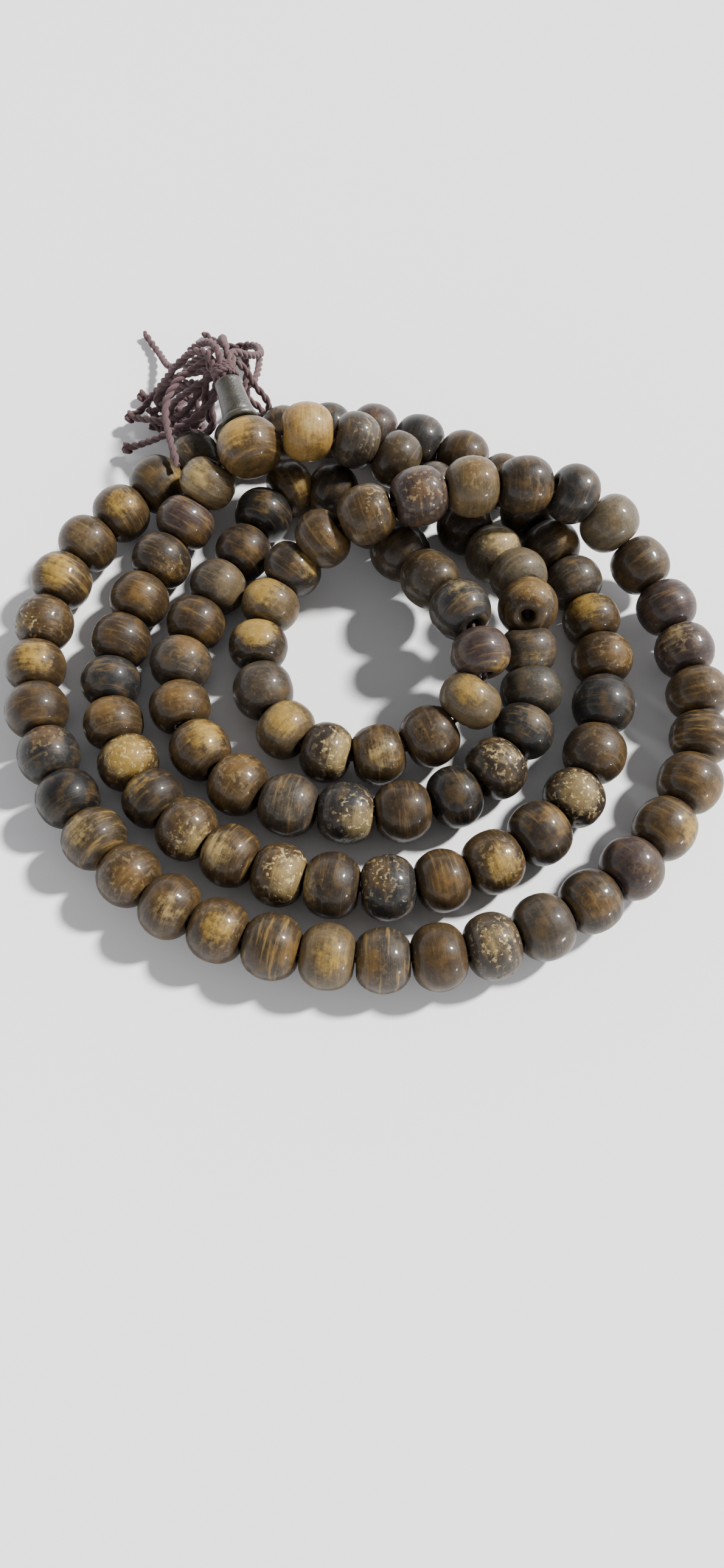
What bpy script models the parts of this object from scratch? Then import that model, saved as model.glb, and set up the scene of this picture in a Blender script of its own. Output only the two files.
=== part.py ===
"""Mala prayer beads: 108 turned bone beads on one cord, a guru bead with its tower, and a cord tassel.

The strand lies in four turns on a table, in metres, +Z up, with the table at Z = 0. The route lists
where the beads lie, counted along the cord from the guru bead, which is number 0 and 109.
"""

import math

import bmesh
import bpy
from mathutils import Matrix, Vector

MM = 0.001
NAME = "mala_prayer_beads"

# Driving dimensions, in millimetres.
BEADS = 108
BEAD_SIDES = 10
BEAD_LOW = 4.85  # from a bead's middle to the flat of its belly
BEAD_RIM = 2.7  # radius of a bead's end face
BEAD_BORE = 1.15
BEAD_BELLY = 0.42  # share of a bead's half length that its widest part takes
BEAD_GAP = 0.34  # between the end faces of two neighbours, on the inside of the bend
CORD = 0.5  # radius of the stringing cord
RUN_RIM = 2.5  # the same for the beads that are joined in runs
RUN_GAP = 0.3
RUN_SIDES = 8
NECK = 1.75  # radius of the sleeve that joins the beads of one run
GURU_RADIUS = 5.5
GURU_HALF = 4.5
GURU_RIM = 3.3
GURU_SIDES = 16
TOWER_FOOT = 3.2
TOWER_TOP = 2.4
TOWER_LENGTH = 8.4
TOWER_BORE = 1.25
TOWER_SIDES = 16
STEM = 0.7
KNOT_RADIUS = 2.4
KNOT_LENGTH = 3.0
STRAND = 0.7
STRAND_RING = 2.25  # radius of the ring on which the strands start
STRAND_CLEAR = 0.45
CLEAR = 0.32

# (bead number, x, y, z), in millimetres.
ROUTE = [
    (0, -19.7, 37.5, 13.5),
    (0.5, -25.1, 35.7, 11.7),
    (1.5, -29.0, 31.0, 7.0),
    (2.5, -33.0, 24.0, 5.0),
    (4, -38.0, 12.5, 4.85),
    (6, -41.5, -3.5, 4.85),
    (9, -33.0, -24.0, 4.85),
    (12, -13.0, -36.5, 4.85),
    (15, 11.5, -37.5, 4.85),
    (18, 32.5, -24.0, 4.85),
    (21, 39.0, 1.0, 4.85),
    (24, 32.0, 23.0, 4.85),
    (25, 28.5, 30.5, 4.85),
    (26, 24.8, 38.0, 4.85),
    (27, 17.5, 42.5, 4.85),
    (30, -6.5, 49.5, 4.85),
    (32, -22.5, 45.8, 4.85),
    (33, -30.5, 42.8, 4.85),
    (34, -36.5, 36.5, 4.85),
    (36, -48.0, 24.0, 4.85),
    (39, -54.0, -0.5, 4.85),
    (42, -46.0, -24.0, 4.85),
    (45, -29.0, -41.5, 4.85),
    (48, -5.5, -49.0, 4.85),
    (51, 18.5, -47.5, 4.85),
    (54, 40.0, -35.5, 4.85),
    (57, 53.5, -13.5, 4.85),
    (59, 52.5, 2.5, 4.85),
    (60, 50.5, 10.5, 5.5),
    (61, 46.5, 18.0, 7.0),
    (62, 41.0, 24.5, 9.5),
    (63, 35.2, 28.3, 14.2),
    (64, 26.3, 27.6, 15.4),
    (65, 17.5, 27.5, 15.9),
    (66, 9.0, 25.5, 15.6),
    (67, 0.1, 22.6, 14.8),
    (68, -7.5, 21.3, 10.0),
    (69, -12.2, 17.6, 6.5),
    (71, -18.0, 3.5, 4.85),
    (73, -13.0, -12.5, 4.85),
    (75, 2.0, -17.0, 4.85),
    (76, 10.4, -13.6, 4.85),
    (77.5, 18.9, -6.0, 10.6),
    (78.5, 17.3, 2.2, 12.4),
    (79.5, 13.1, 10.0, 10.8),
    (80.5, 8.5, 17.8, 6.7),
    (81.5, 3.4, 25.4, 4.85),
    (82.5, -1.9, 33.0, 4.85),
    (83.5, -9.6, 37.6, 4.85),
    (84.5, -16.4, 33.9, 4.85),
    (85.5, -19.0, 25.9, 4.85),
    (88, -28.3, 8.0, 4.85),
    (90, -30.2, -8.0, 4.85),
    (92, -20.0, -22.0, 4.85),
    (94, -3.0, -26.5, 4.85),
    (96, 14.0, -24.0, 4.85),
    (98.5, 26.7, -8.9, 5.0),
    (99.5, 26.8, -1.7, 5.0),
    (100.5, 25.9, 4.0, 9.8),
    (101.5, 26.7, 11.0, 10.8),
    (102.5, 23.9, 17.2, 7.8),
    (103.5, 19.9, 23.9, 5.3),
    (104.5, 14.6, 30.6, 5.4),
    (106, 5.5, 38.5, 10.0),
    (107, -1.5, 39.8, 12.8),
    (108.5, -14.3, 39.3, 15.3),
    (109, -19.7, 37.5, 13.5),
]

TOWER_WAY = (-0.308, 0.935, 0.176)  # from the guru bead's middle out through the tower

# Where each tassel strand starts round the knot, in degrees, and the points that it passes.
STRANDS = {
    "strand_far_left": (96, [
        (-27.4, 58.0, 17.0), (-31.0, 61.2, 12.5), (-34.0, 62.5, 7.5), (-37.0, 65.5, 4.0),
        (-39.5, 71.0, 1.6), (-41.5, 74.5, 1.0), (-43.0, 77.0, 1.0),
    ]),
    "strand_back_loop": (5, [
        (-22.2, 57.0, 15.5), (-20.5, 60.0, 12.0), (-19.3, 64.5, 8.0), (-20.5, 70.5, 4.0),
        (-23.0, 73.5, 1.5), (-25.5, 73.5, 1.0), (-28.5, 74.5, 1.0), (-31.5, 77.0, 1.0),
    ]),
    "strand_left": (142, [
        (-29.6, 56.2, 16.6), (-33.2, 57.2, 13.0), (-36.2, 58.4, 8.2), (-38.8, 59.2, 4.2),
        (-40.5, 59.8, 2.0), (-42.5, 61.0, 1.0),
    ]),
    "strand_knotted": (231, [
        (-27.8, 54.8, 13.0), (-30.0, 52.8, 10.0), (-33.0, 50.8, 7.2), (-36.5, 51.0, 5.4),
        (-40.0, 52.5, 4.0), (-44.0, 54.5, 2.5),
    ]),
    "strand_near_left": (275, [
        (-25.6, 54.0, 12.2), (-26.7, 50.8, 11.0), (-29.2, 47.4, 10.8), (-33.0, 45.8, 9.3),
        (-37.0, 46.0, 6.5), (-40.5, 46.8, 4.0), (-44.0, 47.3, 2.0),
    ]),
    "strand_over_beads": (187, [
        (-30.2, 53.6, 15.0), (-33.0, 51.8, 14.0), (-34.8, 48.0, 12.6), (-34.4, 43.6, 11.6),
        (-33.0, 38.5, 11.2), (-32.4, 36.2, 10.4),
    ]),
    "strand_right": (318, [
        (-22.2, 56.5, 13.2), (-21.2, 56.6, 11.6), (-20.4, 55.9, 10.3), (-19.6, 55.3, 9.0),
        (-18.3, 54.8, 7.4), (-17.6, 54.2, 5.8), (-18.0, 54.2, 4.0), (-19.6, 55.2, 2.0),
        (-22.4, 56.4, 1.0), (-25.4, 56.8, 1.0),
    ]),
    "strand_top_arc": (50, [
        (-24.6, 57.5, 17.5), (-25.5, 61.5, 14.5), (-28.0, 64.5, 9.0), (-31.5, 66.5, 5.0),
        (-34.5, 67.5, 1.5),
    ]),
}

# First and last bead of each run whose beads are joined. Every other bead turns on its own.
RUNS = {
    "bead_run_second_ring_left": (1, 13),
    "bead_run_second_ring_right": (14, 26),
    "bead_run_inner_ring": (68, 77),
    "bead_run_inner_climb": (78, 85),
    "bead_run_middle_ring": (86, 98),
    "bead_run_to_guru": (99, 108),
}


def along(number):
    """The point of the route at a bead number, on a smooth curve through the listed points."""
    last = len(ROUTE) - 1
    k = max(i for i in range(last) if ROUTE[i][0] <= number)
    before = ROUTE[k - 1] if k else (ROUTE[last - 1][0] - BEADS - 1,) + ROUTE[last - 1][1:]
    after = ROUTE[k + 2] if k + 2 <= last else (ROUTE[1][0] + BEADS + 1,) + ROUTE[1][1:]
    a, b = ROUTE[k], ROUTE[k + 1]

    def slope(p, q, r):
        """The curve's slope at q, from the two chords that meet there."""
        near, far = q[0] - p[0], r[0] - q[0]
        first = (Vector(q[1:]) - Vector(p[1:])) / near
        second = (Vector(r[1:]) - Vector(q[1:])) / far
        return (first * far + second * near) / (near + far)

    span = b[0] - a[0]
    t = (number - a[0]) / span
    start, end = slope(before, a, b) * span, slope(a, b, after) * span
    h00, h10 = 2 * t**3 - 3 * t**2 + 1, t**3 - 2 * t**2 + t
    h01, h11 = -2 * t**3 + 3 * t**2, t**3 - t**2
    point = Vector(a[1:]) * h00 + start * h10 + Vector(b[1:]) * h01 + end * h11
    point.z = max(point.z, BEAD_LOW)
    return point


GAPS = [along(i + 0.5) for i in range(BEADS + 1)]  # GAPS[i] lies between beads i and i + 1
GURU = Vector(ROUTE[0][1:])
UP_TOWER = Vector(TOWER_WAY).normalized()
TOWER_START = GURU_HALF + CLEAR  # the tower's and the knot's distances up from the guru's middle
KNOT_START = TOWER_START + TOWER_LENGTH + CLEAR


def clean():
    """Removes whatever the scene holds."""
    for old in list(bpy.data.objects):
        bpy.data.objects.remove(old, do_unlink=True)


def collection(name):
    group = bpy.data.collections.new(name)
    bpy.context.scene.collection.children.link(group)
    return group


def material(name, colour, roughness, metallic=0.0):
    mat = bpy.data.materials.new(name)
    mat.use_nodes = True
    shader = mat.node_tree.nodes["Principled BSDF"]
    shader.inputs["Base Color"].default_value = (*colour, 1.0)
    shader.inputs["Roughness"].default_value = roughness
    shader.inputs["Metallic"].default_value = metallic
    return mat


def link(obj, mat):
    bpy.data.collections[NAME].objects.link(obj)
    obj.data.materials.append(mat)
    return obj


def turned(name, profile, steps, mat):
    """A closed profile of (radius, height) in millimetres, turned about Z, outer side first."""
    mesh = bpy.data.meshes.new(name)
    points = [(r * MM, 0.0, z * MM) for r, z in profile]
    mesh.from_pydata(points, [(i, (i + 1) % len(points)) for i in range(len(points))], [])
    obj = link(bpy.data.objects.new(name, mesh), mat)
    screw = obj.modifiers.new("turn", "SCREW")
    screw.axis = "Z"
    screw.steps = screw.render_steps = steps
    screw.use_merge_vertices = True
    screw.merge_threshold = 0.00001
    return obj


def standing(axis, facing, side_angle):
    """A rotation from Z to the axis, with the direction at side_angle about Z as near facing as can be."""
    z = axis.normalized()
    side = (facing - z * facing.dot(z)).normalized()
    x = Matrix.Rotation(-side_angle, 3, z) @ side
    return Matrix((x, z.cross(x), z)).transposed()


def place(obj, centre, rotation):
    obj.matrix_world = Matrix.Translation(centre * MM) @ rotation.to_4x4()


def bead_ends(i, rim, gap):
    """The middle points of bead i's two end faces, short enough that the rims clear at each bend."""
    start, end = GAPS[i - 1], GAPS[i]
    axis = (end - start).normalized()
    before = axis.angle(start - (GAPS[i - 2] if i > 1 else GAPS[BEADS]))
    after = axis.angle((GAPS[i + 1] if i < BEADS else GAPS[0]) - end)
    start = start + axis * (rim * math.tan(before / 2) + gap / 2)
    end = end - axis * (rim * math.tan(after / 2) + gap / 2)
    return start, end


def bead(i, mat):
    """One bead that turns on the cord, its origin in its middle and a flat of its belly downward."""
    start, end = bead_ends(i, BEAD_RIM, BEAD_GAP)
    half = (end - start).length / 2
    belly = half * BEAD_BELLY
    round_it = BEAD_LOW / math.cos(math.pi / BEAD_SIDES)
    profile = [
        (BEAD_BORE, half),
        (BEAD_RIM, half),
        (round_it, belly),
        (round_it, -belly),
        (BEAD_RIM, -half),
        (BEAD_BORE, -half),
    ]
    obj = turned(f"bead_{i:03d}", profile, BEAD_SIDES, mat)
    turn = standing(end - start, Vector((0, 0, -1)), math.pi / BEAD_SIDES)
    place(obj, (start + end) / 2, turn)
    return obj


def tube(name, points, radii, mat, sides, closed=False):
    """A round tube along points in millimetres, one radius to each."""
    curve = bpy.data.curves.new(name, "CURVE")
    curve.dimensions = "3D"
    curve.twist_mode = "Z_UP"
    curve.bevel_depth = MM
    curve.bevel_resolution = sides // 2 - 2
    curve.use_fill_caps = not closed
    spline = curve.splines.new("POLY")
    spline.points.add(len(points) - 1)
    for knot, point, radius in zip(spline.points, points, radii):
        knot.co = (*(point * MM), 1.0)
        knot.radius = radius
    spline.use_cyclic_u = closed
    return link(bpy.data.objects.new(name, curve), mat)


def as_mesh(obj):
    """The curve object made a mesh object, its caps welded on."""
    graph = bpy.context.evaluated_depsgraph_get()
    mesh = bpy.data.meshes.new_from_object(obj.evaluated_get(graph))
    welded = bmesh.new()
    welded.from_mesh(mesh)
    bmesh.ops.remove_doubles(welded, verts=welded.verts, dist=0.00001)
    bmesh.ops.recalc_face_normals(welded, faces=welded.faces)
    welded.to_mesh(mesh)
    welded.free()
    name, mat = obj.name, obj.data.materials[0]
    bpy.data.objects.remove(obj, do_unlink=True)
    solid = bpy.data.objects.new(name, mesh)
    bpy.data.collections[NAME].objects.link(solid)
    if not mesh.materials:
        mesh.materials.append(mat)
    return solid


def as_cutter(obj):
    obj.name = f"cut_{obj.name}"
    obj.hide_render = True
    obj.display_type = "WIRE"
    bpy.data.collections[NAME].objects.unlink(obj)
    bpy.data.collections["cutters"].objects.link(obj)
    return obj


def cut(obj, cutter):
    hole = obj.modifiers.new("bore", "BOOLEAN")
    hole.operation = "DIFFERENCE"
    hole.solver = "EXACT"
    hole.object = cutter
    return obj


def run(name, first, last, mat):
    """Beads first to last joined by a thin sleeve at each gap, with one bore through them all."""
    points, radii = [], []
    for i in range(first, last + 1):
        start, end = bead_ends(i, RUN_RIM, RUN_GAP)
        middle, half = (start + end) / 2, (end - start) / 2
        if i > first:
            points.append(GAPS[i - 1])
            radii.append(NECK)
        points += [start, middle - half * BEAD_BELLY, middle + half * BEAD_BELLY, end]
        radii += [RUN_RIM, BEAD_LOW, BEAD_LOW, RUN_RIM]
    solid = as_mesh(tube(name, points, radii, mat, RUN_SIDES))
    bore = [points[0] * 2 - points[1]]
    bore += [GAPS[i] for i in range(first, last)]
    bore += [points[-1] * 2 - points[-2]]
    hole = as_mesh(tube(f"{name}_bore", bore, [BEAD_BORE] * len(bore), mat, RUN_SIDES))
    return cut(solid, as_cutter(hole))


def string_cord(mat):
    """The stringing cord, one closed loop through every bead and across the guru bead."""
    return tube("string_cord", GAPS, [CORD] * len(GAPS), mat, RUN_SIDES, closed=True)


def rod(name, start, end, radius, mat, sides):
    """A straight solid rod between two points."""
    return as_mesh(tube(name, [start, end], [radius, radius], mat, sides))


def guru_bead(mat):
    """The guru bead: a side bore for the string, and an end bore for the tower's stem."""
    rim, half, wide = GURU_RIM, GURU_HALF, GURU_RADIUS
    profile = [
        (0.0, half), (rim, half), (wide * 0.87, half * 0.72), (wide, half * 0.3),
        (wide, -half * 0.3), (wide * 0.87, -half * 0.72), (rim, -half), (0.0, -half),
    ]
    obj = turned("guru_bead", profile, GURU_SIDES, mat)
    place(obj, GURU, standing(UP_TOWER, Vector((0, 0, -1)), 0))
    across = (GAPS[0] - GAPS[BEADS]).normalized() * wide * 1.5
    cut(obj, as_cutter(rod("side_bore", GURU - across, GURU + across, BEAD_BORE, mat, RUN_SIDES)))
    end = GURU + UP_TOWER * half * 1.5
    return cut(obj, as_cutter(rod("end_bore", GURU, end, TOWER_BORE, mat, RUN_SIDES)))


def guru_tower(mat):
    """The tapered tower that holds the guru bead down on the cord."""
    profile = [
        (TOWER_BORE, TOWER_LENGTH), (TOWER_TOP - 0.3, TOWER_LENGTH), (TOWER_TOP, TOWER_LENGTH - 0.5),
        (TOWER_FOOT, 0.6), (TOWER_FOOT - 0.3, 0.0), (TOWER_BORE, 0.0),
    ]
    obj = turned("guru_tower", profile, TOWER_SIDES, mat)
    place(obj, GURU + UP_TOWER * TOWER_START, standing(UP_TOWER, Vector((0, 0, -1)), 0))
    return obj


def tower_stem(mat):
    """The cord inside the tower, from above the string up to the tassel's knot."""
    start = GURU + UP_TOWER * (CORD + CLEAR + 0.1)
    end = GURU + UP_TOWER * (KNOT_START - CLEAR)
    return tube("tower_stem", [start, end], [STEM, STEM], mat, RUN_SIDES)


def tassel_knot(mat):
    """The whipping that binds the strands above the tower."""
    profile = [
        (0.0, KNOT_LENGTH), (KNOT_RADIUS - 0.3, KNOT_LENGTH), (KNOT_RADIUS, KNOT_LENGTH - 0.6),
        (KNOT_RADIUS, 0.6), (KNOT_RADIUS - 0.4, 0.0), (0.0, 0.0),
    ]
    obj = turned("tassel_knot", profile, TOWER_SIDES, mat)
    place(obj, GURU + UP_TOWER * KNOT_START, standing(UP_TOWER, Vector((0, 0, -1)), 0))
    return obj


def smooth(points, count):
    """Evenly counted points on a smooth curve through the given ones."""
    ends = [points[0] * 2 - points[1], *points, points[-1] * 2 - points[-2]]
    result = []
    for n in range(count):
        t = n / (count - 1) * (len(points) - 1)
        k = min(int(t), len(points) - 2)
        t -= k
        a, b, c, d = ends[k : k + 4]
        curve = 2 * b + (c - a) * t + (2 * a - 5 * b + 4 * c - d) * t**2
        result.append((curve + (3 * b - a - 3 * c + d) * t**3) / 2)
    return result


def strand(name, angle, points, mat):
    """One strand of the tassel, out of the knot's far face and along its own points."""
    right = UP_TOWER.cross(Vector((0, 0, 1))).normalized()
    over = right.cross(UP_TOWER)
    turn = math.radians(angle)
    out = (right * math.cos(turn) + over * math.sin(turn)) * STRAND_RING
    face = GURU + UP_TOWER * (KNOT_START + KNOT_LENGTH + STRAND_CLEAR) + out
    path = [face, face + UP_TOWER * 1.6, *(Vector(p) for p in points)]
    line = smooth(path, 2 * len(path) + 1)
    return tube(name, line, [STRAND] * len(line), mat, RUN_SIDES)


def main():
    clean()
    collection(NAME)
    collection("cutters")
    bone = material("dyed_bone", (0.17, 0.10, 0.055), 0.35)
    amber = material("amber_bone", (0.20, 0.11, 0.05), 0.3)
    brown = material("brown_cord", (0.10, 0.05, 0.035), 0.8)
    tower = material("grey_green_tower", (0.09, 0.10, 0.085), 0.5)
    mauve = material("mauve_brown_cord", (0.19, 0.11, 0.105), 0.85)
    joined = {i for first, last in RUNS.values() for i in range(first, last + 1)}
    for number in range(1, BEADS + 1):
        if number not in joined:
            bead(number, bone)
    for name, (first, last) in RUNS.items():
        run(name, first, last, bone)
    string_cord(brown)
    guru_bead(amber)
    guru_tower(tower)
    tower_stem(mauve)
    tassel_knot(mauve)
    for name, (angle, points) in STRANDS.items():
        strand(name, angle, points, mauve)


main()
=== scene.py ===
"""Mala prayer beads: the looks of the bone beads, cord, guru bead, tower and tassel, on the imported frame."""

import math
import random

import bmesh
import bpy
from bpy.props import FloatProperty, FloatVectorProperty, IntProperty, PointerProperty
from mathutils import Matrix, Vector


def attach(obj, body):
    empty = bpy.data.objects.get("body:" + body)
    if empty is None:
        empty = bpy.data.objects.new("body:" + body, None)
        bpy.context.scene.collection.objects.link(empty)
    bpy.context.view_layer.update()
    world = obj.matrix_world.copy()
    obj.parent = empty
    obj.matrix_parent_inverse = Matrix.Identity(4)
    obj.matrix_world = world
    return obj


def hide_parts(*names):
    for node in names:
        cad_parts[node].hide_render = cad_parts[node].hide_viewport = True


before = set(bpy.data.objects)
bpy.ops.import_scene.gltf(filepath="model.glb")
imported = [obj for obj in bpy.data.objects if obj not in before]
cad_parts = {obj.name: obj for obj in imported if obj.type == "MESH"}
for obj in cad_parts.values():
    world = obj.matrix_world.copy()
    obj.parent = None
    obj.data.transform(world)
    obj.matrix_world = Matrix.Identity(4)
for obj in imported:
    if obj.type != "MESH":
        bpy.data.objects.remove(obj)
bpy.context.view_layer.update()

bl_info = {
    "name": "Mala Prayer Beads",
    "version": (1, 0, 0),
    "blender": (4, 5, 0),
    "location": "View3D > Sidebar > Mala",
    "description": "Makes the bone beads, cords and tassel of a mala in turns on a table",
    "category": "Object",
}

MM = 0.001
BEADS = 108
BEAD_LOW = 4.85  # a bead's middle above the table, in millimetres like the other lengths here
GURU_HALF = 4.5
TOWER_LENGTH = 8.4
TOWER_BORE = 1.25
KNOT_LENGTH = 3.0
KNOT_RADIUS = 2.4
STRAND_RING = 2.25
STRAND_CLEAR = 0.45
CLEAR = 0.32
LEAN = math.radians(24.3)  # how far one leans back from straight above, looking at the beads

# (bead number, x, y, z), in millimetres, counted along the cord from the guru bead.
ROUTE = [
    (0, -19.7, 37.5, 13.5),
    (0.5, -25.1, 35.7, 11.7),
    (1.5, -29.0, 31.0, 7.0),
    (2.5, -33.0, 24.0, 5.0),
    (4, -38.0, 12.5, 4.85),
    (6, -41.5, -3.5, 4.85),
    (9, -33.0, -24.0, 4.85),
    (12, -13.0, -36.5, 4.85),
    (15, 11.5, -37.5, 4.85),
    (18, 32.5, -24.0, 4.85),
    (21, 39.0, 1.0, 4.85),
    (24, 32.0, 23.0, 4.85),
    (25, 28.5, 30.5, 4.85),
    (26, 24.8, 38.0, 4.85),
    (27, 17.5, 42.5, 4.85),
    (30, -6.5, 49.5, 4.85),
    (32, -22.5, 45.8, 4.85),
    (33, -30.5, 42.8, 4.85),
    (34, -36.5, 36.5, 4.85),
    (36, -48.0, 24.0, 4.85),
    (39, -54.0, -0.5, 4.85),
    (42, -46.0, -24.0, 4.85),
    (45, -29.0, -41.5, 4.85),
    (48, -5.5, -49.0, 4.85),
    (51, 18.5, -47.5, 4.85),
    (54, 40.0, -35.5, 4.85),
    (57, 53.5, -13.5, 4.85),
    (59, 52.5, 2.5, 4.85),
    (60, 50.5, 10.5, 5.5),
    (61, 46.5, 18.0, 7.0),
    (62, 41.0, 24.5, 9.5),
    (63, 35.2, 28.3, 14.2),
    (64, 26.3, 27.6, 15.4),
    (65, 17.5, 27.5, 15.9),
    (66, 9.0, 25.5, 15.6),
    (67, 0.1, 22.6, 14.8),
    (68, -7.5, 21.3, 10.0),
    (69, -12.2, 17.6, 6.5),
    (71, -18.0, 3.5, 4.85),
    (73, -13.0, -12.5, 4.85),
    (75, 2.0, -17.0, 4.85),
    (76, 10.4, -13.6, 4.85),
    (77.5, 18.9, -6.0, 10.6),
    (78.5, 17.3, 2.2, 12.4),
    (79.5, 13.1, 10.0, 10.8),
    (80.5, 8.5, 17.8, 6.7),
    (81.5, 3.4, 25.4, 4.85),
    (82.5, -1.9, 33.0, 4.85),
    (83.5, -9.6, 37.6, 4.85),
    (84.5, -16.4, 33.9, 4.85),
    (85.5, -19.0, 25.9, 4.85),
    (88, -28.3, 8.0, 4.85),
    (90, -30.2, -8.0, 4.85),
    (92, -20.0, -22.0, 4.85),
    (94, -3.0, -26.5, 4.85),
    (96, 14.0, -24.0, 4.85),
    (98.5, 26.7, -8.9, 5.0),
    (99.5, 26.8, -1.7, 5.0),
    (100.5, 25.9, 4.0, 9.8),
    (101.5, 26.7, 11.0, 10.8),
    (102.5, 23.9, 17.2, 7.8),
    (103.5, 19.9, 23.9, 5.3),
    (104.5, 14.6, 30.6, 5.4),
    (106, 5.5, 38.5, 10.0),
    (107, -1.5, 39.8, 12.8),
    (108.5, -14.3, 39.3, 15.3),
    (109, -19.7, 37.5, 13.5),
]

TOWER_WAY = (-0.308, 0.935, 0.176)  # from the guru bead's middle out through the tower

# Where each tassel strand starts round the knot, in degrees, and the points that it passes.
STRANDS = {
    "strand_far_left": (96, [
        (-27.4, 58.0, 17.0), (-31.0, 61.2, 12.5), (-34.0, 62.5, 7.5), (-37.0, 65.5, 4.0),
        (-39.5, 71.0, 1.6), (-41.5, 74.5, 1.0), (-43.0, 77.0, 1.0),
    ]),
    "strand_back_loop": (5, [
        (-22.2, 57.0, 15.5), (-20.5, 60.0, 12.0), (-19.3, 64.5, 8.0), (-20.5, 70.5, 4.0),
        (-23.0, 73.5, 1.5), (-25.5, 73.5, 1.0), (-28.5, 74.5, 1.0), (-31.5, 77.0, 1.0),
    ]),
    "strand_left": (142, [
        (-29.6, 56.2, 16.6), (-33.2, 57.2, 13.0), (-36.2, 58.4, 8.2), (-38.8, 59.2, 4.2),
        (-40.5, 59.8, 2.0), (-42.5, 61.0, 1.0),
    ]),
    "strand_knotted": (231, [
        (-27.8, 54.8, 13.0), (-30.0, 52.8, 10.0), (-33.0, 50.8, 7.2), (-36.5, 51.0, 5.4),
        (-40.0, 52.5, 4.0), (-44.0, 54.5, 2.5),
    ]),
    "strand_near_left": (275, [
        (-25.6, 54.0, 12.2), (-26.7, 50.8, 11.0), (-29.2, 47.4, 10.8), (-33.0, 45.8, 9.3),
        (-37.0, 46.0, 6.5), (-40.5, 46.8, 4.0), (-44.0, 47.3, 2.0),
    ]),
    "strand_over_beads": (187, [
        (-30.2, 53.6, 15.0), (-33.0, 51.8, 14.0), (-34.8, 48.0, 12.6), (-34.4, 43.6, 11.6),
        (-33.0, 38.5, 11.2), (-32.4, 36.2, 10.4),
    ]),
    "strand_right": (318, [
        (-22.2, 56.5, 13.2), (-21.2, 56.6, 11.6), (-20.4, 55.9, 10.3), (-19.6, 55.3, 9.0),
        (-18.3, 54.8, 7.4), (-17.6, 54.2, 5.8), (-18.0, 54.2, 4.0), (-19.6, 55.2, 2.0),
        (-22.4, 56.4, 1.0), (-25.4, 56.8, 1.0),
    ]),
    "strand_top_arc": (50, [
        (-24.6, 57.5, 17.5), (-25.5, 61.5, 14.5), (-28.0, 64.5, 9.0), (-31.5, 66.5, 5.0),
        (-34.5, 67.5, 1.5),
    ]),
}

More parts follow.
